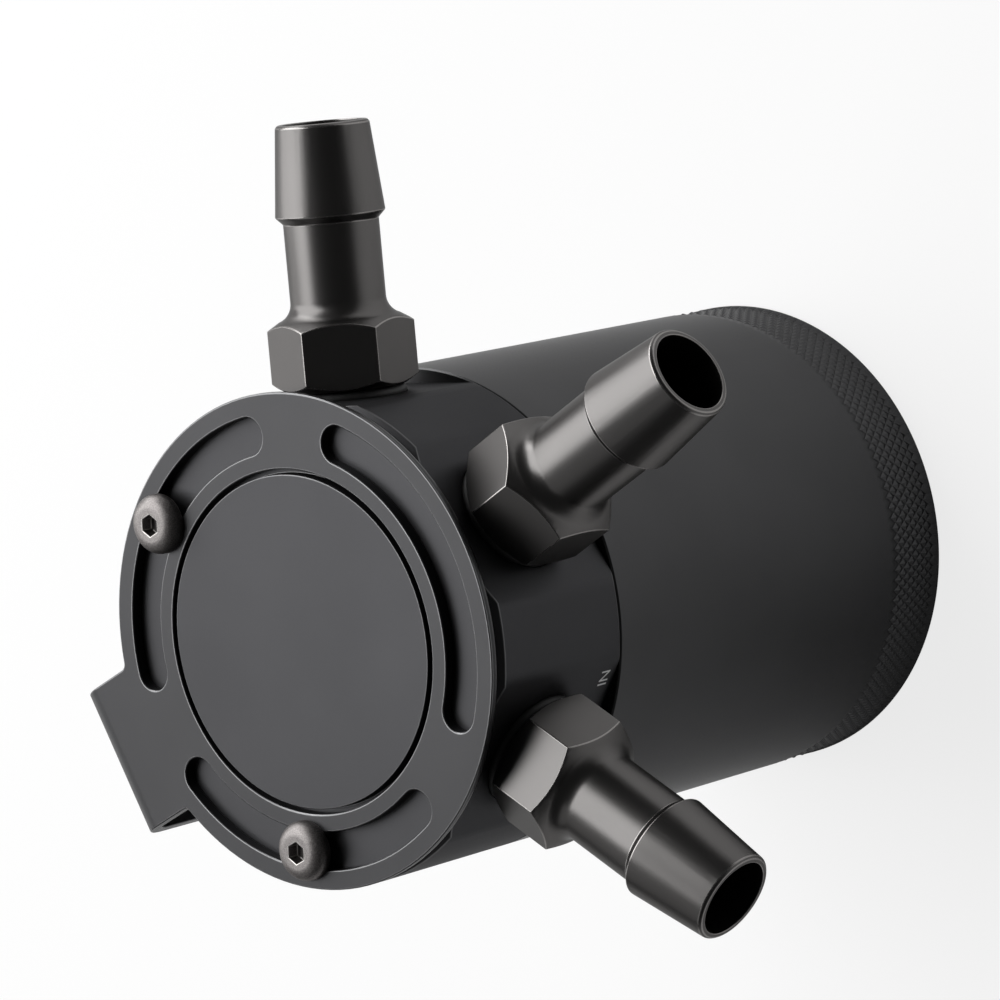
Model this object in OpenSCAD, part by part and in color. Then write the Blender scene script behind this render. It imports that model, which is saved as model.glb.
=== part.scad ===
// Compact baffled oil catch can, standing on its base.
// Z is the can's axis, z = 0 is the base, and the bracket's leg hangs behind the can at -X.
// Each hose fitting is drawn along its own axis and then turned out to its port.

/* [Can] */
// Outside diameter of the can and the head
can_d = 76; // [72:1:90]
// Height of the can from its base to its rim
can_h = 83; // [75:1:140]
// Wall of the can below its thread
can_wall = 5.5; // [5.1:0.1:7]
// Thickness of the can's closed base
base_t = 5; // [3:0.5:10]
// Chamfer around the base
base_chamfer = 0.6; // [0.3:0.1:1.5]
// Edge break on each side of the joint between can and head
rim_break = 0.25; // [0.1:0.05:0.5]

/* [Thread and can seal] */
// Wall of the can outside its mouth thread
mouth_wall = 5; // [4.8:0.1:6]
// Length of the head's threaded spigot
spigot_h = 11; // [8:0.5:14]
// Radial gap between the spigot and the can's mouth
thread_gap = 0.1; // [0.05:0.01:0.15]
// How much deeper the mouth's thread is than the spigot
thread_run_out = 1; // [0.5:0.5:3]
// Section of the can's seal ring
can_seal_section = 1.9; // [1.5:0.1:2.1]
// Room left around every seal ring on each side
seal_room = 0.05; // [0.03:0.01:0.1]

/* [Head] */
// Height of the head between the can's rim and the bracket plate
head_h = 28; // [26:1:34]
// Land between the arc slots and the gap around the centre boss
boss_land = 2.75; // [2:0.05:5]
// Width of the groove between the boss and the bracket plate
groove_w = 0.8; // [0.2:0.1:1]
// Depth of each milled flat below the head's outside
flat_inset = 2.4; // [1.8:0.1:2.6]
// Chamfer around the top of the head, under the bracket plate
head_chamfer = 1.0; // [0.2:0.1:1.2]
// Wall of the spigot around the hollow under the head
spigot_wall = 7.4; // [6:0.1:8]
// Depth of the hollow, from the end of the spigot
hollow_h = 14; // [12:0.5:16]

/* [Ports] */
// Turn of the middle port away from straight opposite the bracket's leg
port_turn_angle = 4; // [-10:1:10]
// Angle from the middle port to each outer port
port_spread_angle = 60; // [52:1:70]
// Drop of the port axes below the top of the bracket plate
port_drop = 15.6; // [15:0.1:17]
// How much deeper the port's thread is than the fitting's
port_run_out = 0.5; // [0.2:0.1:1]
// Bore of the passage behind each threaded port
passage_d = 11.4; // [9:0.2:12]

/* [Hose fittings] */
// Major diameter of the fitting's thread
port_thread_d = 16; // [15:0.5:17]
// Length of the thread that enters the port
port_thread_l = 8.5; // [6:0.5:9]
// Diameter of the thread relief that the seal ring sits on
relief_d = 14.4; // [14:0.1:15]
// Length of the relief below the seal ring's seat
relief_l = 0.7; // [0.4:0.1:1.2]
// Radial gap between a threaded shank and its hole
shank_gap = 0.05; // [0.03:0.01:0.1]
// Section of the port's seal ring
port_seal_section = 2; // [1.6:0.1:2.2]
// Depth of the seal ring's seat in the flat
seal_seat = 0.8; // [0.5:0.1:1.2]
// Hex base, across flats
hex_af = 19.5; // [19:0.5:21]
// Height of the hex base
hex_h = 9.3; // [7:0.1:12]
// Diameter of the round left by the chamfers of the hex
hex_round_d = 18.6; // [18:0.2:19]
// Angle of the chamfers of the hex, from its end faces
hex_chamfer_angle = 32; // [20:1:40]
// Diameter of the stem between the hex and the barb
stem_d = 14.6; // [13:0.1:15]
// Fillet between the stem and the chamfered end of the hex
stem_fillet = 3; // [2.1:0.1:4]
// Length of the stem from the hex to the barb
stem_l = 16; // [10:0.1:20]
// Largest diameter of the barb
barb_d = 16.8; // [16:0.1:18]
// Axial length of the barb's step
barb_step = 1.1; // [0.8:0.1:3]
// Length of the barb's cone, with its lip
barb_l = 13.9; // [10:0.1:20]
// Diameter at the small end of the barb
tip_d = 14.4; // [13.8:0.1:15.5]
// Chamfer of the lip
lip_chamfer = 0.4; // [0.2:0.1:0.8]
// Bore of the fitting
fitting_bore_d = 12.2; // [10:0.1:12.4]
// Bore through the fitting's thread
thread_bore_d = 11; // [8:0.2:12]
// Turn of the left inlet's hex as it was tightened
hex_left_angle = 12; // [0:1:60]
// Turn of the outlet's hex
hex_middle_angle = 58; // [0:1:60]
// Turn of the right inlet's hex
hex_right_angle = 10; // [0:1:60]

/* [Bracket] */
// Thickness of the bracket's sheet
plate_t = 2; // [2:0.5:4]
// Land between the arc slots and the plate's rim
slot_rim = 3.1; // [2.1:0.1:4.1]
// Width of the arc slots
slot_w = 5.8; // [5.4:0.1:6.4]
// Angle covered by each slot, end to end
slot_span_angle = 98; // [40:1:104]
// Chamfer under the rim of the plate
under_chamfer = 0.9; // [0.2:0.1:1.2]
// Width of the tab and the leg
tab_w = 24; // [20:1:30]
// Fillet where the tab leaves the ring
tab_fillet = 1.2; // [0.5:0.1:3]
// Gap between the can and the leg
leg_gap = 8; // [6:0.5:15]
// Inside radius of the fold
bend_r = 2.5; // [1:0.5:4]
// Length of the leg from the top of the plate
leg_l = 45; // [44:1:60]
// Radius of the leg's corners
leg_corner_r = 4; // [2:0.5:8]
// Diameter of the two holes in the leg
leg_hole_d = 6.6; // [5:0.1:8]
// Distance between the two holes
leg_hole_pitch = 22; // [16:1:24]
// Distance from the leg's end to its lower hole
leg_hole_edge = 10; // [8:0.5:12]

/* [Bracket screws] */
// Thread diameter of the bracket screws
screw_d = 5; // [4:0.5:5]
// Length of the screws under their heads
screw_l = 10; // [8:1:14]
// Diameter of the button heads
screw_head_d = 9.3; // [8.5:0.1:10.5]
// Height of the button heads
screw_head_h = 2.75; // [2:0.05:3.2]
// Flat top of the button heads
screw_top_d = 5; // [4.5:0.1:6]
// Hex socket, across flats
socket_af = 3; // [2:0.5:3.5]
// Depth of the hex socket
socket_h = 2; // [1.5:0.1:2.2]
// How much deeper the tapped holes are than the screws
tap_run_out = 2; // [1:0.5:3]

/* [Baffle] */
// Outside diameter of the drop tubes
tube_d = 10; // [8:0.5:11]
// Wall of the drop tubes
tube_wall = 1; // [0.5:0.1:1.5]
// Gap between the drop tubes and the side of the hollow
tube_side_gap = 1.5; // [1:0.1:2.5]
// Depth of the drop tubes in the head's bores
tube_seat = 5; // [3:0.5:5]
// Height of the drop tubes' open ends above the base
tube_end_z = 44; // [30:1:50]
// Gap between the baffle plate and the can's bore
baffle_gap = 1; // [0.5:0.1:2]
// Thickness of the baffle plate
baffle_t = 1.5; // [1:0.1:3]
// Gap around the drop tubes in the baffle plate
tube_gap = 0.3; // [0.2:0.1:0.8]
// Diameter of the holes in the baffle plate
vent_d = 4; // [2:0.5:4.5]
// Distance of the inner ring of holes from the axis
vent_inner_r = 9.5; // [8:0.5:10]
// Land between the outer ring of holes and the baffle plate's rim
vent_rim = 5.5; // [5:0.1:6.5]
// Number of holes in the inner ring
vent_inner_n = 8; // [4:1:10]
// Number of holes in the outer ring before the tubes take theirs
vent_outer_n = 18; // [6:1:24]
// Length of the standoffs
standoff_h = 10; // [9:0.5:15]
// Standoffs, across flats
standoff_af = 5.5; // [5:0.5:6]
// Gap between the standoffs and the can's bore
standoff_gap = 0.75; // [0.5:0.05:1]
// Thread diameter of the standoffs and the baffle's screws
baffle_screw_d = 3; // [2.5:0.5:3]
// Thread length in the head and in the standoffs
baffle_screw_l = 5; // [3:0.5:6]
// Diameter of the baffle screws' heads
pan_d = 5.5; // [5:0.1:6]
// Height of the baffle screws' heads
pan_h = 1.8; // [1.2:0.1:2.5]

/* [Outlet filter] */
// Thread diameter of the filter holder
holder_thread_d = 14; // [12:0.5:16]
// Length of the holder's thread
holder_thread_l = 5; // [3:0.1:5]
// Holder's hex flange, across flats
holder_af = 17; // [17:0.5:18]
// Thickness of the holder's flange
holder_flange_t = 3; // [2:0.5:4]
// Length of the holder's nose in the filter element
holder_nose_l = 5; // [3:0.5:8]
// Diameter of the holder's nose
holder_nose_d = 11; // [9:0.5:12]
// Bore of the holder
holder_bore_d = 7; // [5:0.5:8]
// Length of the sintered filter element
filter_l = 18; // [12:0.5:19]
// Diameter of the filter element at its mouth
filter_d = 16; // [14:0.5:17]
// Diameter of the filter element at its closed end
filter_end_d = 13.5; // [12:0.5:15]
// Thickness of the filter element's closed end
filter_end_t = 3; // [2:0.5:4]

/* [Hidden] */
$fn = 96;
can_r = can_d / 2;
bore_r = can_r - can_wall;
spigot_r = can_r - mouth_wall - thread_gap;
hollow_r = spigot_r - spigot_wall;
mouth_r = can_r - mouth_wall;
can_seal_seat = can_seal_section + 2 * seal_room;
plate_z = can_h + head_h;
top_z = plate_z + plate_t;
spigot_z = can_h - spigot_h;
hollow_z = spigot_z + hollow_h;
slot_r = can_r - slot_rim - slot_w / 2;
boss_r = slot_r - slot_w / 2 - boss_land - groove_w;
flat_x = can_r - flat_inset;
port_z = top_z - port_drop;
thread_x = flat_x - seal_seat - relief_l;
port_end_x = thread_x - port_thread_l - port_run_out;
hex_x = flat_x - seal_seat + port_seal_section + 2 * seal_room;
hex_corner_r = hex_af / 2 / cos(30);
hex_top_x = hex_x + hex_h;
chamfer_h = (hex_corner_r - hex_round_d / 2) * tan(hex_chamfer_angle);
barb_x = hex_top_x + stem_l;
tip_x = barb_x + barb_step + barb_l;
port_angles = [port_turn_angle - port_spread_angle, port_turn_angle, port_turn_angle + port_spread_angle];
hex_angles = [hex_left_angle, hex_middle_angle, hex_right_angle];
leg_x = can_r + leg_gap + plate_t;
leg_hole_z = top_z - leg_l + leg_hole_edge;
screw_angles = [120, 240];
slot_angles = [0, 120, 240];
slot_end_angle = slot_span_angle / 2 - asin(slot_w / 2 / slot_r);
tube_top_z = hollow_z + tube_seat;
tube_pitch_r = hollow_r - tube_side_gap - tube_d / 2;
standoff_r = bore_r - standoff_gap - standoff_af / 2;
baffle_z = spigot_z - standoff_h - baffle_t;
baffle_r = bore_r - baffle_gap;
vent_outer_r = baffle_r - vent_rim - vent_d / 2;
standoff_angles = [for (i = [0:2]) port_turn_angle + 120 * i];
tube_angles = [port_angles[0], port_angles[2]];
flange_z = hollow_z - holder_flange_t;
slack = 1;

// Turns something drawn up the Z axis out along a port's axis.
module at_port(i) {
    rotate([0, 0, port_angles[i]])
        translate([0, 0, port_z])
            rotate([0, 90, 0])
                children();
}

// Puts something drawn at the axis at a distance and an angle around it.
module around(angle, r) {
    rotate([0, 0, angle])
        translate([r, 0, 0])
            children();
}

// Turned cup: closed base, plain bore, threaded mouth and the seal's counterbore.
module can_body() {
    color([0.16, 0.16, 0.17])
    rotate_extrude()
        polygon([
            [0, 0], [can_r - base_chamfer, 0], [can_r, base_chamfer],
            [can_r, can_h - rim_break], [can_r - rim_break, can_h],
            [mouth_r + can_seal_seat, can_h],
            [mouth_r + can_seal_seat, can_h - can_seal_seat],
            [mouth_r, can_h - can_seal_seat],
            [mouth_r, spigot_z - thread_run_out],
            [bore_r, spigot_z - thread_run_out],
            [bore_r, base_t], [0, base_t]
        ]);
}

// Round seal ring of a given section around the Z axis.
module seal_ring(inner_r, section, z) {
    color([0.08, 0.08, 0.08])
    translate([0, 0, z])
        rotate_extrude()
            translate([inner_r + section / 2, 0])
                circle(d = section, $fn = 48);
}

module can_seal() {
    seal_ring(mouth_r + seal_room, can_seal_section, can_h - seal_room - can_seal_section / 2);
}

// Outside of the head: spigot, body and centre boss, with its three flats milled off.
module head_blank() {
    difference() {
        rotate_extrude()
            polygon([
                [0, hollow_z], [hollow_r, hollow_z], [hollow_r, spigot_z],
                [spigot_r, spigot_z], [spigot_r, can_h], [can_r - rim_break, can_h],
                [can_r, can_h + rim_break], [can_r, plate_z - head_chamfer],
                [can_r - head_chamfer, plate_z], [boss_r, plate_z],
                [boss_r, top_z], [0, top_z]
            ]);
        for (angle = port_angles)
            around(angle, flat_x)
                translate([0, -can_r, can_h - slack])
                    cube([can_r, can_d, head_h + 2 * slack]);
    }
}

// One port: seat of the seal ring, threaded bore and the passage behind it.
module port_bore(i, passage_end_x) {
    at_port(i) {
        translate([0, 0, flat_x - seal_seat])
            cylinder(r = relief_d / 2 + port_seal_section + 2 * seal_room, h = can_r);
        translate([0, 0, port_end_x])
            cylinder(r = port_thread_d / 2 + shank_gap, h = flat_x - port_end_x);
        translate([0, 0, passage_end_x])
            cylinder(d = passage_d, h = port_end_x - passage_end_x + slack);
    }
}

module head() {
    color([0.15, 0.15, 0.16])
    difference() {
        head_blank();
        port_bore(0, tube_pitch_r - tube_d / 2);
        port_bore(1, -passage_d / 4);
        port_bore(2, tube_pitch_r - tube_d / 2);
        for (angle = tube_angles)
            around(angle, tube_pitch_r) {
                translate([0, 0, hollow_z - slack])
                    cylinder(r = tube_d / 2 + shank_gap, h = tube_seat + slack);
                translate([0, 0, hollow_z])
                    cylinder(r = tube_d / 2 - tube_wall, h = port_z - hollow_z);
            }
        translate([0, 0, hollow_z - slack])
            cylinder(r = holder_thread_d / 2 + shank_gap, h = holder_thread_l + slack);
        translate([0, 0, hollow_z])
            cylinder(d = holder_bore_d, h = port_z - hollow_z);
        for (angle = screw_angles)
            around(angle, slot_r)
                translate([0, 0, top_z - screw_l - tap_run_out])
                    cylinder(r = screw_d / 2 + shank_gap, h = screw_l + tap_run_out);
        for (angle = standoff_angles)
            around(angle, standoff_r)
                translate([0, 0, spigot_z - slack])
                    cylinder(r = baffle_screw_d / 2 + shank_gap, h = baffle_screw_l + 2 * slack);
    }
}

// One arc slot with round ends, centred on the given angle.
module arc_slot(angle) {
    rotate([0, 0, angle]) {
        rotate([0, 0, -slot_end_angle])
            rotate_extrude(angle = 2 * slot_end_angle)
                translate([slot_r - slot_w / 2, plate_z - slack])
                    square([slot_w, plate_t + 2 * slack]);
        for (side = [-1, 1])
            around(side * slot_end_angle, slot_r)
                translate([0, 0, plate_z - slack])
                    cylinder(d = slot_w, h = plate_t + 2 * slack);
    }
}

// Fillet in the corner between the ring and one side of the tab.
module tab_corner() {
    fillet_y = tab_w / 2 + tab_fillet;
    fillet_x = sqrt(pow(can_r + tab_fillet, 2) - pow(fillet_y, 2));
    touch_x = can_r * fillet_x / (can_r + tab_fillet);
    touch_y = can_r * fillet_y / (can_r + tab_fillet);
    translate([0, 0, plate_z])
        linear_extrude(plate_t)
            difference() {
                polygon([[touch_x - tab_fillet, tab_w / 2 - tab_fillet],
                    [fillet_x, tab_w / 2 - tab_fillet], [fillet_x, tab_w / 2],
                    [touch_x, touch_y]]);
                translate([fillet_x, fillet_y])
                    circle(r = tab_fillet);
            }
}

// Folded leg with two holes: the fold is a quarter turn of the sheet's section.
module leg() {
    fold_r = bend_r + plate_t;
    flat_h = leg_l - fold_r;
    difference() {
        union() {
            translate([leg_x - fold_r, 0, top_z - fold_r])
                rotate([90, 0, 0])
                    translate([0, 0, -tab_w / 2])
                        rotate_extrude(angle = 90)
                            translate([bend_r, 0])
                                square([plate_t, tab_w]);
            translate([leg_x, 0, top_z - leg_l])
                rotate([90, 0, -90])
                    linear_extrude(plate_t) {
                        translate([-tab_w / 2, leg_corner_r])
                            square([tab_w, flat_h - leg_corner_r]);
                        translate([-tab_w / 2 + leg_corner_r, 0])
                            square([tab_w - 2 * leg_corner_r, flat_h]);
                        for (side = [-1, 1])
                            translate([side * (tab_w / 2 - leg_corner_r), leg_corner_r])
                                circle(r = leg_corner_r);
                    }
        }
        for (i = [0, 1])
            translate([leg_x - plate_t - slack, 0, leg_hole_z + i * leg_hole_pitch])
                rotate([0, 90, 0])
                    cylinder(d = leg_hole_d, h = plate_t + 2 * slack);
    }
}

// Laser-cut plate: ring with three arc slots, a tab, and the leg folded down behind the can.
module bracket() {
    color([0.20, 0.20, 0.21])
    rotate([0, 0, 180])
    difference() {
        union() {
            rotate_extrude()
                polygon([[0, plate_z], [can_r - under_chamfer, plate_z],
                    [can_r, plate_z + under_chamfer], [can_r, top_z], [0, top_z]]);
            translate([0, -tab_w / 2, plate_z])
                cube([leg_x - bend_r - plate_t, tab_w, plate_t]);
            tab_corner();
            mirror([0, 1, 0])
                tab_corner();
            leg();
        }
        translate([0, 0, plate_z - slack])
            cylinder(r = boss_r + groove_w, h = plate_t + 2 * slack);
        for (angle = slot_angles)
            arc_slot(angle + 180);
    }
}

// Button-head screw with a hex socket: its dome is an arc from the flat top to the rim.
module bracket_screw(angle) {
    head_r = screw_head_d / 2;
    top_r = screw_top_d / 2;
    rim_h = screw_head_h / 8;
    dome_h = screw_head_h - rim_h;
    dome_r = (pow(dome_h, 2) + pow(head_r - top_r, 2)) / (2 * dome_h);
    color([0.33, 0.33, 0.34])
    around(angle, slot_r)
        translate([0, 0, top_z])
            difference() {
                union() {
                    translate([0, 0, -screw_l])
                        cylinder(d = screw_d, h = screw_l);
                    rotate_extrude() {
                        square([head_r, rim_h]);
                        square([top_r, screw_head_h]);
                        intersection() {
                            translate([top_r, screw_head_h - dome_r])
                                circle(r = dome_r);
                            translate([top_r / 2, 0])
                                square([head_r - top_r / 2, screw_head_h]);
                        }
                    }
                }
                translate([0, 0, screw_head_h - socket_h])
                    cylinder(d = socket_af / cos(30), h = socket_h + slack, $fn = 6);
            }
}

// Outline of the fitting beyond its hex: fillet, stem, barb and chamfered lip.
module stem_profile() {
    stem_r = stem_d / 2;
    round_r = hex_round_d / 2;
    fillet_x = hex_top_x + chamfer_h
        + sqrt(pow(stem_fillet, 2) - pow(stem_fillet - (round_r - stem_r), 2));
    translate([0, hex_x])
        square([stem_r, barb_x - hex_x]);
    difference() {
        translate([0, hex_x])
            square([round_r, fillet_x - hex_x]);
        translate([stem_r + stem_fillet, fillet_x])
            circle(r = stem_fillet);
    }
    polygon([[0, barb_x], [stem_r, barb_x], [barb_d / 2, barb_x + barb_step],
        [tip_d / 2, tip_x - lip_chamfer], [tip_d / 2 - lip_chamfer, tip_x], [0, tip_x]]);
}

// Hex base of the fitting, with its corners turned off at both ends.
module fitting_hex(turn) {
    past_corner_r = hex_corner_r + chamfer_h / tan(hex_chamfer_angle);
    intersection() {
        rotate([0, 0, turn])
            translate([0, 0, hex_x])
                cylinder(r = hex_corner_r, h = hex_h + 2 * chamfer_h, $fn = 6);
        rotate_extrude()
            polygon([[0, hex_x], [hex_round_d / 2, hex_x],
                [past_corner_r, hex_x + 2 * chamfer_h], [past_corner_r, hex_top_x - chamfer_h],
                [hex_round_d / 2, hex_top_x + chamfer_h], [0, hex_top_x + chamfer_h]]);
    }
}

// Turned hose fitting: thread, relief, chamfered hex, stem and one tapered barb.
module fitting(i) {
    color([0.14, 0.14, 0.15])
    at_port(i)
        difference() {
            union() {
                translate([0, 0, thread_x - port_thread_l])
                    cylinder(d = port_thread_d, h = port_thread_l);
                translate([0, 0, thread_x - slack])
                    cylinder(d = relief_d, h = hex_x - thread_x + 2 * slack);
                fitting_hex(hex_angles[i]);
                rotate_extrude()
                    stem_profile();
            }
            translate([0, 0, thread_x - port_thread_l - slack])
                cylinder(d = thread_bore_d, h = port_thread_l + hex_h);
            translate([0, 0, hex_x])
                cylinder(d = fitting_bore_d, h = tip_x - hex_x + slack);
        }
}

module port_seal(i) {
    at_port(i)
        seal_ring(relief_d / 2 + seal_room, port_seal_section,
            hex_x - seal_room - port_seal_section / 2);
}

// Open tube from the head's bore down through the baffle plate.
module drop_tube(angle) {
    color([0.62, 0.63, 0.65])
    around(angle, tube_pitch_r)
        difference() {
            translate([0, 0, tube_end_z])
                cylinder(d = tube_d, h = tube_top_z - tube_end_z);
            translate([0, 0, tube_end_z - slack])
                cylinder(r = tube_d / 2 - tube_wall, h = tube_top_z - tube_end_z + 2 * slack);
        }
}

// Perforated disc: holes that would meet a drop tube are left out of the outer ring.
module baffle_plate() {
    tube_hole_r = tube_d / 2 + tube_gap;
    land = tube_hole_r + vent_d / 2 + tube_gap;
    skip_angle = acos((pow(vent_outer_r, 2) + pow(tube_pitch_r, 2) - pow(land, 2))
        / (2 * vent_outer_r * tube_pitch_r));
    color([0.55, 0.56, 0.58])
    translate([0, 0, baffle_z])
        difference() {
            cylinder(r = baffle_r, h = baffle_t);
            for (angle = tube_angles)
                around(angle, tube_pitch_r)
                    translate([0, 0, -slack])
                        cylinder(r = tube_hole_r, h = baffle_t + 2 * slack);
            for (angle = standoff_angles)
                around(angle, standoff_r)
                    translate([0, 0, -slack])
                        cylinder(r = baffle_screw_d / 2 + shank_gap, h = baffle_t + 2 * slack);
            for (i = [0:vent_inner_n - 1])
                around(port_turn_angle + i * 360 / vent_inner_n, vent_inner_r)
                    translate([0, 0, -slack])
                        cylinder(d = vent_d, h = baffle_t + 2 * slack);
            for (i = [0:vent_outer_n - 1]) {
                turn = (i + 0.5) * 360 / vent_outer_n;
                away = min([for (tube = [-port_spread_angle, port_spread_angle])
                    abs((turn - tube + 540) % 360 - 180)]);
                if (away > skip_angle)
                    around(port_turn_angle + turn, vent_outer_r)
                        translate([0, 0, -slack])
                            cylinder(d = vent_d, h = baffle_t + 2 * slack);
            }
        }
}

// Hex standoff with a stud into the head and a tapped lower end.
module standoff(i) {
    color([0.60, 0.61, 0.63])
    around(standoff_angles[i], standoff_r)
        difference() {
            union() {
                translate([0, 0, spigot_z - standoff_h])
                    rotate([0, 0, 30])
                        cylinder(d = standoff_af / cos(30), h = standoff_h, $fn = 6);
                translate([0, 0, spigot_z - slack])
                    cylinder(d = baffle_screw_d, h = baffle_screw_l + slack);
            }
            translate([0, 0, spigot_z - standoff_h - slack])
                cylinder(r = baffle_screw_d / 2 + shank_gap, h = baffle_screw_l - baffle_t + 2 * slack);
        }
}

// Pan-head screw that holds the baffle plate to a standoff.
module baffle_screw(i) {
    color([0.60, 0.61, 0.63])
    around(standoff_angles[i], standoff_r)
        translate([0, 0, baffle_z]) {
            translate([0, 0, -pan_h])
                cylinder(d = pan_d, h = pan_h);
            cylinder(d = baffle_screw_d, h = baffle_screw_l);
        }
}

// Brass holder screwed up into the outlet's centre bore.
module filter_holder() {
    color([0.72, 0.58, 0.30])
    difference() {
        union() {
            translate([0, 0, flange_z])
                cylinder(d = holder_af / cos(30), h = holder_flange_t, $fn = 6);
            translate([0, 0, hollow_z - slack])
                cylinder(d = holder_thread_d, h = holder_thread_l + slack);
            translate([0, 0, flange_z - holder_nose_l])
                cylinder(d = holder_nose_d, h = holder_nose_l + slack);
        }
        translate([0, 0, flange_z - holder_nose_l - slack])
            cylinder(d = holder_bore_d,
                h = holder_nose_l + holder_flange_t + holder_thread_l + 2 * slack);
    }
}

// Sintered bronze cup pushed over the holder's nose.
module filter_element() {
    color([0.62, 0.47, 0.25])
    translate([0, 0, flange_z - filter_l])
        difference() {
            cylinder(d1 = filter_end_d, d2 = filter_d, h = filter_l);
            translate([0, 0, filter_end_t])
                cylinder(r = holder_nose_d / 2 + shank_gap, h = filter_l);
        }
}

can_body();
can_seal();
head();
bracket();
bracket_screw(screw_angles[1]);  // bracket_screw_left
bracket_screw(screw_angles[0]);  // bracket_screw_right
fitting(0);  // inlet_left_fitting
fitting(1);  // outlet_fitting
fitting(2);  // inlet_right_fitting
port_seal(0);  // inlet_left_seal
port_seal(1);  // outlet_seal
port_seal(2);  // inlet_right_seal
drop_tube(tube_angles[0]);  // drop_tube_left
drop_tube(tube_angles[1]);  // drop_tube_right
baffle_plate();
standoff(0);  // standoff_front
standoff(1);  // standoff_right
standoff(2);  // standoff_left
baffle_screw(0);  // baffle_screw_front
baffle_screw(1);  // baffle_screw_right
baffle_screw(2);  // baffle_screw_left
filter_holder();
filter_element();
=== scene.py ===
import math

import bpy
from mathutils import Matrix, Vector


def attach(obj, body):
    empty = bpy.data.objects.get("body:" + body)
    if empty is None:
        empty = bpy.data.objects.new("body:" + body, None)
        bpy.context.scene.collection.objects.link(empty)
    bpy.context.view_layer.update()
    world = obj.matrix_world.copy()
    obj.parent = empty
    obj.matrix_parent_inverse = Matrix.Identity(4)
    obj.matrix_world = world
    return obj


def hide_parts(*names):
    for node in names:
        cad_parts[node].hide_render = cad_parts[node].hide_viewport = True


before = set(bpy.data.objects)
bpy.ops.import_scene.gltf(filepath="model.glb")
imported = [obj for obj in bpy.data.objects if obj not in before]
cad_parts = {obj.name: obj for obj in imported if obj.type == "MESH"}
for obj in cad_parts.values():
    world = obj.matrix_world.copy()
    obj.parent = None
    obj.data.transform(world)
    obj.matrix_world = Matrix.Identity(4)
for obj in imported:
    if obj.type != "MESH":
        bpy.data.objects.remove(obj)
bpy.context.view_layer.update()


# Studio: the can stands on its base on a white paper table in a dim room, lit by four
# softboxes. The camera looks down on the head from the side of the hose fittings, and is
# rolled as the photograph is.

# In metres, degrees and millimetres.
camera_place = (0.52208, -0.13566, 0.67555)
camera_turn = (-10.796, 40.086, -32.591)
sensor_width = 36
focal_length = 186.08


def deselect():
    if bpy.context.object and bpy.context.object.mode != "OBJECT":
        bpy.ops.object.mode_set(mode="OBJECT")
    bpy.ops.object.select_all(action="DESELECT")


deselect()
bpy.ops.object.camera_add(location=camera_place,
                          rotation=[math.radians(angle) for angle in camera_turn])
camera = bpy.context.object
camera.data.sensor_width = sensor_width
camera.data.lens = focal_length
bpy.context.scene.camera = camera
bpy.context.scene.view_settings.view_transform = "Standard"


class Socket:
    """A value in a material's node tree, so that shader maths reads as arithmetic."""

    def __init__(self, finish, socket):
        self.finish, self.socket = finish, socket

    def maths(self, operation, *values):
        return self.finish.node("ShaderNodeMath", {"operation": operation}, *values)

    def __add__(self, other):
        return self.maths("ADD", self, other)

    __radd__ = __add__

    def __mul__(self, other):
        return self.maths("MULTIPLY", self, other)

    __rmul__ = __mul__

    def __sub__(self, other):
        return self.maths("SUBTRACT", self, other)

    def __rsub__(self, other):
        return self.maths("SUBTRACT", other, self)

    def spread(self, low, high):
        """This 0 to 1 value, spread over a narrower range."""
        return self * (high - low) + low


class Finish:
    """A material whose nodes are added one by one, each wrapped as a Socket."""

    def __init__(self, name):
        self.material = bpy.data.materials.new(name)
        self.material.use_nodes = True
        self.tree = self.material.node_tree
        self.shader = self.tree.nodes["Principled BSDF"]
        self.output = self.tree.nodes["Material Output"]

    def node(self, kind, settings=None, *values, out=0, **named):
        """Adds a node: its settings first, then its sockets by order or by name."""
        made = self.tree.nodes.new(kind)
        for key, setting in (settings or {}).items():
            if key == "stops":
                ramp = made.color_ramp.elements
                while len(ramp) < len(setting):
                    ramp.new(0.5)
                for element, (place, shade) in zip(ramp, setting):
                    element.position = place
                    element.color = (shade, shade, shade, 1)
            else:
                setattr(made, key, setting)
        for index, value in enumerate(values):
            self.join(value, made.inputs[index])
        for key, value in named.items():
            self.join(value, made.inputs[key.replace("_", " ")])
        return Socket(self, made.outputs[out])

    def join(self, value, target):
        """Links a socket to the target or sets a plain value there; None leaves it alone."""
        if isinstance(value, Socket):
            self.tree.links.new(value.socket, target)
        elif isinstance(value, (tuple, list)) and len(value) == 3 and target.type == "RGBA":
            target.default_value = (*value, 1)
        elif value is not None:
            target.default_value = value

    def set(self, **named):
        for key, value in named.items():
            self.join(value, self.shader.inputs[key.replace("_", " ")])

    def place(self):
        return self.node("ShaderNodeTexCoord", None, out="Object")

    def grain(self, size, detail=2.0):
        """Even noise with lumps of the given size in metres, from 0 to 1."""
        return self.node("ShaderNodeTexNoise", None, Vector=self.place(),
                         Scale=1 / size, Detail=detail, Roughness=0.5)

    def blend(self, factor, a, b):
        """One colour going over into another; a Mix node's colours are inputs 6 and 7."""
        return self.node("ShaderNodeMix", {"data_type": "RGBA"},
                         factor, None, None, None, None, None, a, b, out=2)

    def bump(self, height, depth):
        """Relief of the given depth in metres."""
        self.join(self.node("ShaderNodeBump", None, Height=height, Distance=depth, Strength=1.0),
                  self.shader.inputs["Normal"])


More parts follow.
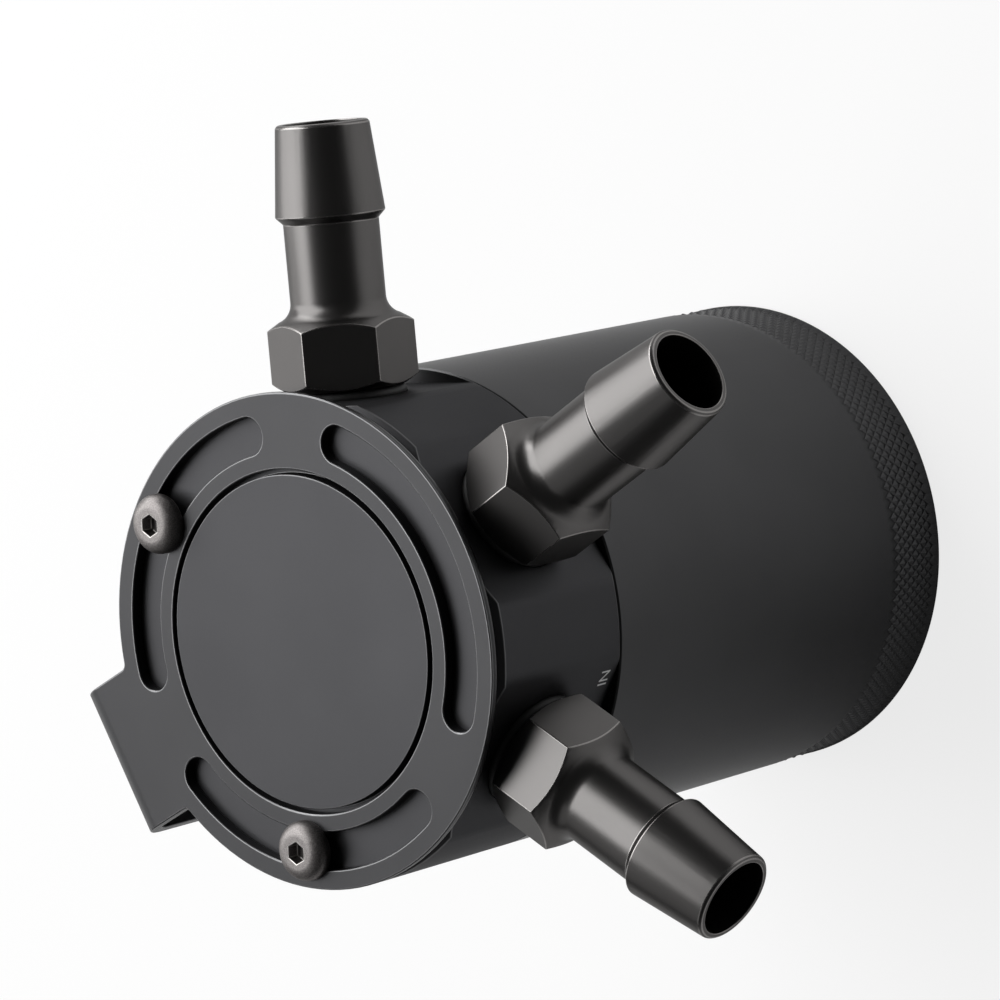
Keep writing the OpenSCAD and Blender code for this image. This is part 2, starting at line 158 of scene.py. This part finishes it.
# The paper lies a hair below the can's base. To the camera most of its white is a glow of
# its own, and the part that is lit keeps the object's shadow. Metal mirrors little of it.
table_size = 8
table_drop = 0.0002
seen_glow, mirrored_glow = 0.80, 0.10
deselect()
bpy.ops.mesh.primitive_plane_add(size=table_size, location=(0, 0, -table_drop))
table = bpy.context.object
table.name = "table"
paper = Finish("white_table")
paper.set(Base_Color=(0.86, 0.86, 0.86), Roughness=0.9, Specular_IOR_Level=0.0)
seen, mirrored, through = (
    paper.node("ShaderNodeLightPath", None, out=ray)
    for ray in ("Is Camera Ray", "Is Glossy Ray", "Is Transmission Ray"))
share = seen * seen_glow + (mirrored + through) * mirrored_glow
lit = Socket(paper, paper.shader.outputs["BSDF"])
glow = paper.node("ShaderNodeEmission", None, Color=(1, 1, 1), Strength=1.0)
paper.join(paper.node("ShaderNodeMixShader", None, share, lit, glow),
           paper.output.inputs["Surface"])
table.data.materials.append(paper.material)

# The room is dim, so that black metal keeps its contrast.
world = bpy.data.worlds.new("dim_room")
world.use_nodes = True
room = world.node_tree.nodes["Background"]
room.inputs["Color"].default_value = (1, 1, 1, 1)
room.inputs["Strength"].default_value = 0.045
bpy.context.scene.world = world

lamp_aim = Vector((0, 0, 0.07))
lamp_distance = 1.3


def softbox(name, towards, width, height, power):
    """A studio lamp that looks at the can's head from the given direction."""
    place = lamp_aim + Vector(towards).normalized() * lamp_distance
    deselect()
    bpy.ops.object.light_add(type="AREA", location=place)
    lamp = bpy.context.object
    lamp.name = name
    lamp.data.shape = "RECTANGLE"
    lamp.data.size = width
    lamp.data.size_y = height
    lamp.data.energy = power
    lamp.rotation_euler = (place - lamp_aim).to_track_quat("Z", "Y").to_euler()
    lamp.visible_camera = False


softbox("softbox_over", (-0.38, 0.62, 0.69), width=1.50, height=1.50, power=28)
softbox("softbox_left", (-0.93, 0.36, 0.06), width=0.80, height=0.80, power=3.6)
softbox("softbox_side", (-0.70, -0.25, 0.65), width=1.40, height=1.40, power=2.2)
softbox("softbox_back", (-0.22, 0.96, 0.16), width=0.80, height=0.45, power=5.0)


# Can: a cup turned from aluminium bar and black anodised. Its closed end carries a
# diamond-knurled grip band, and its mouth is threaded and holds the seal ring.

# Sizes in millimetres, from the base up and then down the inside.
can_r = 38.0
base_chamfer = 0.6
knurl_top = 13.5
knurl_rows = 11
knurl_depth = 0.35
diamonds_round = 140
wall_margin = 0.3
rim_z = 83.0
rim_break = 0.25
seat_r, seat_z = 35.0, 81.0
mouth_r = 33.0
thread_end_z, thread_pitch, thread_depth = 71.0, 1.5, 0.45
bore_r = 32.5
floor_z = 5.0
smooth_angle = math.radians(28)


def turned(name, outline, steps):
    """Spins an outline of (radius, height) points in millimetres once round the Z axis."""
    start_r, start_z = outline[0]
    deselect()
    bpy.ops.mesh.primitive_plane_add(size=0.01, location=(0, 0, 0))
    piece = bpy.context.object
    piece.name = name
    # The plane shrinks to the outline's first point, and the others are extruded from it.
    bpy.ops.object.mode_set(mode="EDIT")
    bpy.ops.mesh.merge(type="CENTER")
    bpy.ops.transform.translate(value=(start_r / 1000, 0, start_z / 1000))
    for (r0, z0), (r1, z1) in zip(outline, outline[1:]):
        bpy.ops.mesh.extrude_region_move(
            TRANSFORM_OT_translate={"value": ((r1 - r0) / 1000, 0, (z1 - z0) / 1000)})
    bpy.ops.mesh.select_all(action="SELECT")
    bpy.ops.mesh.spin(steps=steps, angle=math.tau, center=(0, 0, 0), axis=(0, 0, 1))
    bpy.ops.mesh.select_all(action="SELECT")
    bpy.ops.mesh.remove_doubles(threshold=1e-6)
    bpy.ops.mesh.normals_make_consistent(inside=False)
    bpy.ops.object.mode_set(mode="OBJECT")
    return piece


def shade_by_area(piece, name):
    """Turns the normals towards the larger faces, so that flats and walls shade evenly."""
    weights = piece.modifiers.new(name, "WEIGHTED_NORMAL")
    weights.keep_sharp = True
    bpy.ops.object.modifier_apply(modifier=name)


row_h = (knurl_top - base_chamfer) / knurl_rows
threads = round((seat_z - thread_end_z) / thread_pitch) - 1
outline = [(0, 0), (can_r - base_chamfer, 0)]
outline += [(can_r, base_chamfer + row * row_h) for row in range(knurl_rows + 1)]
# A ring of points close to each end of the plain wall keeps its shading straight.
outline += [(can_r, knurl_top + wall_margin), (can_r, rim_z - rim_break - wall_margin),
            (can_r, rim_z - rim_break), (can_r - rim_break, rim_z), (seat_r, rim_z),
            (seat_r, seat_z), (mouth_r + thread_depth, seat_z)]
for turn in range(threads):
    crest_z = seat_z - thread_pitch * (turn + 0.5)
    outline += [(mouth_r, crest_z), (mouth_r + thread_depth, crest_z - thread_pitch / 2)]
outline += [(mouth_r, thread_end_z), (bore_r, thread_end_z), (bore_r, floor_z), (0, floor_z)]
can = turned("can_shell", outline, diamonds_round * 2)

# Every second point of the band's grid is pressed in, which leaves four-sided points. All
# that lies beyond the radius outside, in metres, is on the can's outer wall.
half_step = math.tau / (diamonds_round * 2)
outside = (can_r - 2 * knurl_depth) / 1000
for vertex in can.data.vertices:
    x, y, z = vertex.co
    row = (z * 1000 - base_chamfer) / row_h
    on_band = math.hypot(x, y) > outside and 0.5 < row < knurl_rows - 0.5
    column = round(math.atan2(y, x) / half_step)
    vertex.select = on_band and (column + round(row)) % 2 == 1
for edge in can.data.edges:
    edge.select = False
for face in can.data.polygons:
    face.select = False
bpy.ops.object.mode_set(mode="EDIT")
bpy.context.tool_settings.mesh_select_mode = (True, False, False)
pressed = 1 - knurl_depth / can_r
bpy.ops.transform.resize(value=(pressed, pressed, 1), center_override=(0, 0, 0))
bpy.ops.object.mode_set(mode="OBJECT")
for face in can.data.polygons:
    x, y, z = face.center
    face.select = (math.hypot(x, y) > outside
                   and base_chamfer / 1000 < z < knurl_top / 1000)
bpy.ops.object.mode_set(mode="EDIT")
bpy.context.tool_settings.mesh_select_mode = (False, False, True)
bpy.ops.mesh.quads_convert_to_tris(quad_method="SHORTEST_DIAGONAL")
bpy.context.tool_settings.mesh_select_mode = (True, False, False)
bpy.ops.object.mode_set(mode="OBJECT")
bpy.ops.object.shade_smooth_by_angle(angle=smooth_angle)
shade_by_area(can, "wall_stays_straight")

anodised_grain = 0.00022
anodised_clouds = 0.02
turning_pitch = 0.00025


def anodised(name, shade, rough, rim=0.5, grain_depth=0.000006, lathe=False):
    """Black anodising over blasted or turned metal. A low rim keeps grazing light dark."""
    finish = Finish(name)
    fine = finish.grain(anodised_grain, detail=3.0)
    clouds = finish.grain(anodised_clouds)
    darker, lighter = ([part * factor for part in shade] for factor in (0.88, 1.12))
    finish.set(Base_Color=finish.blend(clouds, darker, lighter), Metallic=1.0,
               Specular_Tint=(rim, rim, rim),
               Roughness=fine.spread(rough - 0.05, rough + 0.05))
    relief = fine
    if lathe:
        height = finish.node("ShaderNodeSeparateXYZ", None, finish.place(), out="Z")
        rings = finish.node("ShaderNodeCombineXYZ", None, 0.0, 0.0, height * (1 / turning_pitch))
        marks = finish.node("ShaderNodeTexNoise", None, Vector=rings, Scale=1.0, Detail=2.0)
        relief = fine * 0.5 + marks * 0.5
    finish.bump(relief, grain_depth)
    return finish


turned_can = anodised("turned_black_can", (0.072, 0.072, 0.074), rough=0.36, rim=0.62,
                      lathe=True)
can.data.materials.append(turned_can.material)
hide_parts("can_body")
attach(can, "can")


# Head: a turned and milled billet with a raised boss, three flats for the ports and
# a threaded spigot. It is blasted and black anodised, and its edges are just broken.

sharp_angle = math.radians(30)
flat_angle = math.radians(0.3)


def eased(name, node, width, body, surface, edge):
    """A copy of a CAD node with its sharp edges broken, as deburring leaves them."""
    deselect()
    piece = bpy.data.objects.new(name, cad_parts[node].data.copy())
    bpy.context.scene.collection.objects.link(piece)
    piece.data.materials.clear()
    piece.data.materials.append(surface.material)
    piece.data.materials.append(edge.material)
    piece.select_set(True)
    bpy.context.view_layer.objects.active = piece
    bpy.ops.object.mode_set(mode="EDIT")
    bpy.ops.mesh.select_all(action="SELECT")
    bpy.ops.mesh.remove_doubles(threshold=2e-6)
    bpy.ops.mesh.customdata_custom_splitnormals_clear()
    bpy.ops.mesh.dissolve_limited(angle_limit=flat_angle)
    bpy.ops.object.mode_set(mode="OBJECT")
    # The broken edges take the second material, which is lighter and paints a highlight along
    # them. Clamped, they would shrink to nothing.
    bevel = piece.modifiers.new("broken_edges", "BEVEL")
    bevel.width = width / 1000
    bevel.segments = 3
    bevel.material = 1
    bevel.limit_method = "ANGLE"
    bevel.angle_limit = sharp_angle
    bevel.use_clamp_overlap = False
    bpy.ops.object.modifier_apply(modifier=bevel.name)
    bpy.ops.object.shade_smooth_by_angle(angle=smooth_angle)
    shade_by_area(piece, "flat_faces_stay_flat")
    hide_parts(node)
    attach(piece, body)


# Its broken edges are coloured twice as light as its faces: a painted highlight.
eased("head_block", "head", width=0.18, body="head",
      surface=anodised("blasted_black_head", (0.062, 0.062, 0.065), rough=0.50),
      edge=anodised("head_edge_highlight", (0.12, 0.12, 0.123), rough=0.34))

# The mark beside the left inlet is screen printed in white on the milled flat. Its place is
# in metres out from the can's axis, along the flat and up from the table.
inlet_turn = math.radians(-56)
mark_out, mark_along, mark_up = 0.03561, 0.0101, 0.08445
letter_height = 0.0029
ink_thickness = 0.00001
deselect()
bpy.ops.object.text_add(location=(0, 0, 0))
mark = bpy.context.object
mark.name = "inlet_mark"
mark.data.body = "IN"
mark.data.size = letter_height
mark.data.extrude = ink_thickness
mark.data.align_x = "CENTER"
bpy.ops.object.convert(target="MESH")
outward = Vector((math.cos(inlet_turn), math.sin(inlet_turn), 0))
along = Vector((-math.sin(inlet_turn), math.cos(inlet_turn), 0))
up = Vector((0, 0, 1))
on_flat = outward * mark_out + along * mark_along + up * mark_up
faces_out = Matrix((along, up, outward)).transposed().to_4x4()
mark.matrix_world = Matrix.Translation(on_flat) @ faces_out
bpy.ops.object.transform_apply(location=True, rotation=True, scale=True)
ink = Finish("white_print")
ink.set(Base_Color=(0.78, 0.78, 0.78), Roughness=ink.grain(size=0.0002).spread(0.5, 0.7))
mark.data.materials.append(ink.material)
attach(mark, "head")


# Bracket: laser-cut 2 mm aluminium sheet with three arc slots and a leg folded down behind
# the can. It is tumbled, so that every edge carries a small chamfer, then anodised. The
# chamfers are coloured lighter than the faces: a painted highlight.

eased("mounting_bracket", "bracket", width=0.28, body="bracket",
      surface=anodised("blasted_black_bracket", (0.054, 0.054, 0.056), rough=0.46, rim=1.0),
      edge=anodised("bracket_edge_highlight", (0.13, 0.13, 0.133), rough=0.30, rim=0.7))


# Bracket screws: M5 button heads with hex sockets in black-oxide steel. They clamp the
# bracket through two of its slots, and the oxide is worn to a grainy grey.

for side in ("left", "right"):
    oxide = Finish("black_oxide_steel_" + side)
    speck = oxide.grain(size=0.00022, detail=3.0)
    worn = oxide.node("ShaderNodeValToRGB", {"stops": ((0.30, 0.0), (0.80, 1.0))}, speck)
    oxide.set(Base_Color=oxide.blend(worn, (0.13, 0.122, 0.120), (0.30, 0.283, 0.276)),
              Metallic=1.0, Specular_Tint=(0.5, 0.5, 0.5),
              Roughness=speck.spread(0.34, 0.60))
    oxide.bump(speck, depth=0.00002)
    # The broken edges are light, bare-looking steel: partly oxide rubbed off, partly a painted
    # highlight.
    worn_edge_and_highlight = Finish("rubbed_screw_edge_" + side)
    worn_edge_and_highlight.set(Base_Color=(0.45, 0.44, 0.42), Metallic=1.0,
             Roughness=worn_edge_and_highlight.grain(size=0.00022, detail=3.0).spread(0.25, 0.45))
    worn_edge_and_highlight.bump(worn_edge_and_highlight.grain(size=0.0003), depth=0.00003)
    eased("button_screw_" + side, "bracket_screw_" + side, width=0.14, body="head",
          surface=oxide, edge=worn_edge_and_highlight)


# Hose fittings: turned from hex bar with one tapered barb each, and black anodised. Their
# threaded ends screw into the head's ports until the hexes sit on their seal rings.

for port in ("inlet_left", "outlet", "inlet_right"):
    # The broken edges are coloured about twice as light as the faces: a painted highlight.
    eased(port + "_barb", port + "_fitting", width=0.14, body="head",
          surface=anodised(port + "_turned_black", (0.120, 0.116, 0.114), rough=0.32,
                           grain_depth=0.000002),
          edge=anodised(port + "_edges", (0.26, 0.25, 0.245), rough=0.26,
                        grain_depth=0.000004))


# Seal rings: moulded O-rings of black nitrile rubber. One is squeezed under each
# fitting's hex, and a larger one lies in the can's mouth under the head.

def coat(material, *nodes):
    """Gives a finish to CAD nodes that are shown as they are."""
    for node in nodes:
        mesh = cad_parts[node].data
        mesh.materials.clear()
        mesh.materials.append(material)


nitrile = Finish("black_nitrile")
nitrile.set(Base_Color=(0.012, 0.012, 0.012),
            Roughness=nitrile.grain(size=0.0005).spread(0.5, 0.65))
nitrile.bump(nitrile.grain(size=0.0003), depth=0.00001)
coat(nitrile.material, "can_seal", "inlet_left_seal", "outlet_seal", "inlet_right_seal")


# Baffle: drawn aluminium drop tubes lead the inlets' flow down through a punched stainless
# plate. The plate hangs from the head on hex standoffs, held by three pan-head screws.

def bare_metal(name, shade, rough):
    """Uncoated metal with a fine drawn or rolled grain."""
    finish = Finish(name)
    fine = finish.grain(size=0.0004, detail=3.0)
    finish.set(Base_Color=finish.blend(fine, [part * 0.9 for part in shade], shade),
               Metallic=1.0, Roughness=fine.spread(rough - 0.08, rough + 0.08))
    finish.bump(fine, depth=0.000008)
    return finish.material


coat(bare_metal("drawn_aluminium", (0.72, 0.73, 0.74), rough=0.34),
     "drop_tube_left", "drop_tube_right")
coat(bare_metal("rolled_stainless", (0.60, 0.60, 0.61), rough=0.30),
     "baffle_plate", "standoff_front", "standoff_right", "standoff_left",
     "baffle_screw_front", "baffle_screw_right", "baffle_screw_left")


# Outlet filter: a cup of sintered bronze balls that catches the last of the oil mist. It
# is pushed onto a turned brass holder, which screws into the head.

coat(bare_metal("turned_brass", (0.80, 0.62, 0.28), rough=0.28), "filter_holder")
sintered = Finish("sintered_bronze")
balls_per_metre = 2200
balls = sintered.node("ShaderNodeTexVoronoi", None, Vector=sintered.place(),
                      Scale=balls_per_metre)
# The colour darkens from each ball's middle towards the gaps between balls: painted shade in the
# pores.
sintered.set(Base_Color=sintered.blend(balls, (0.46, 0.31, 0.15), (0.16, 0.10, 0.05)),
             Metallic=0.8, Roughness=0.55)
sintered.bump(1 - balls, depth=0.0002)
coat(sintered.material, "filter_element")
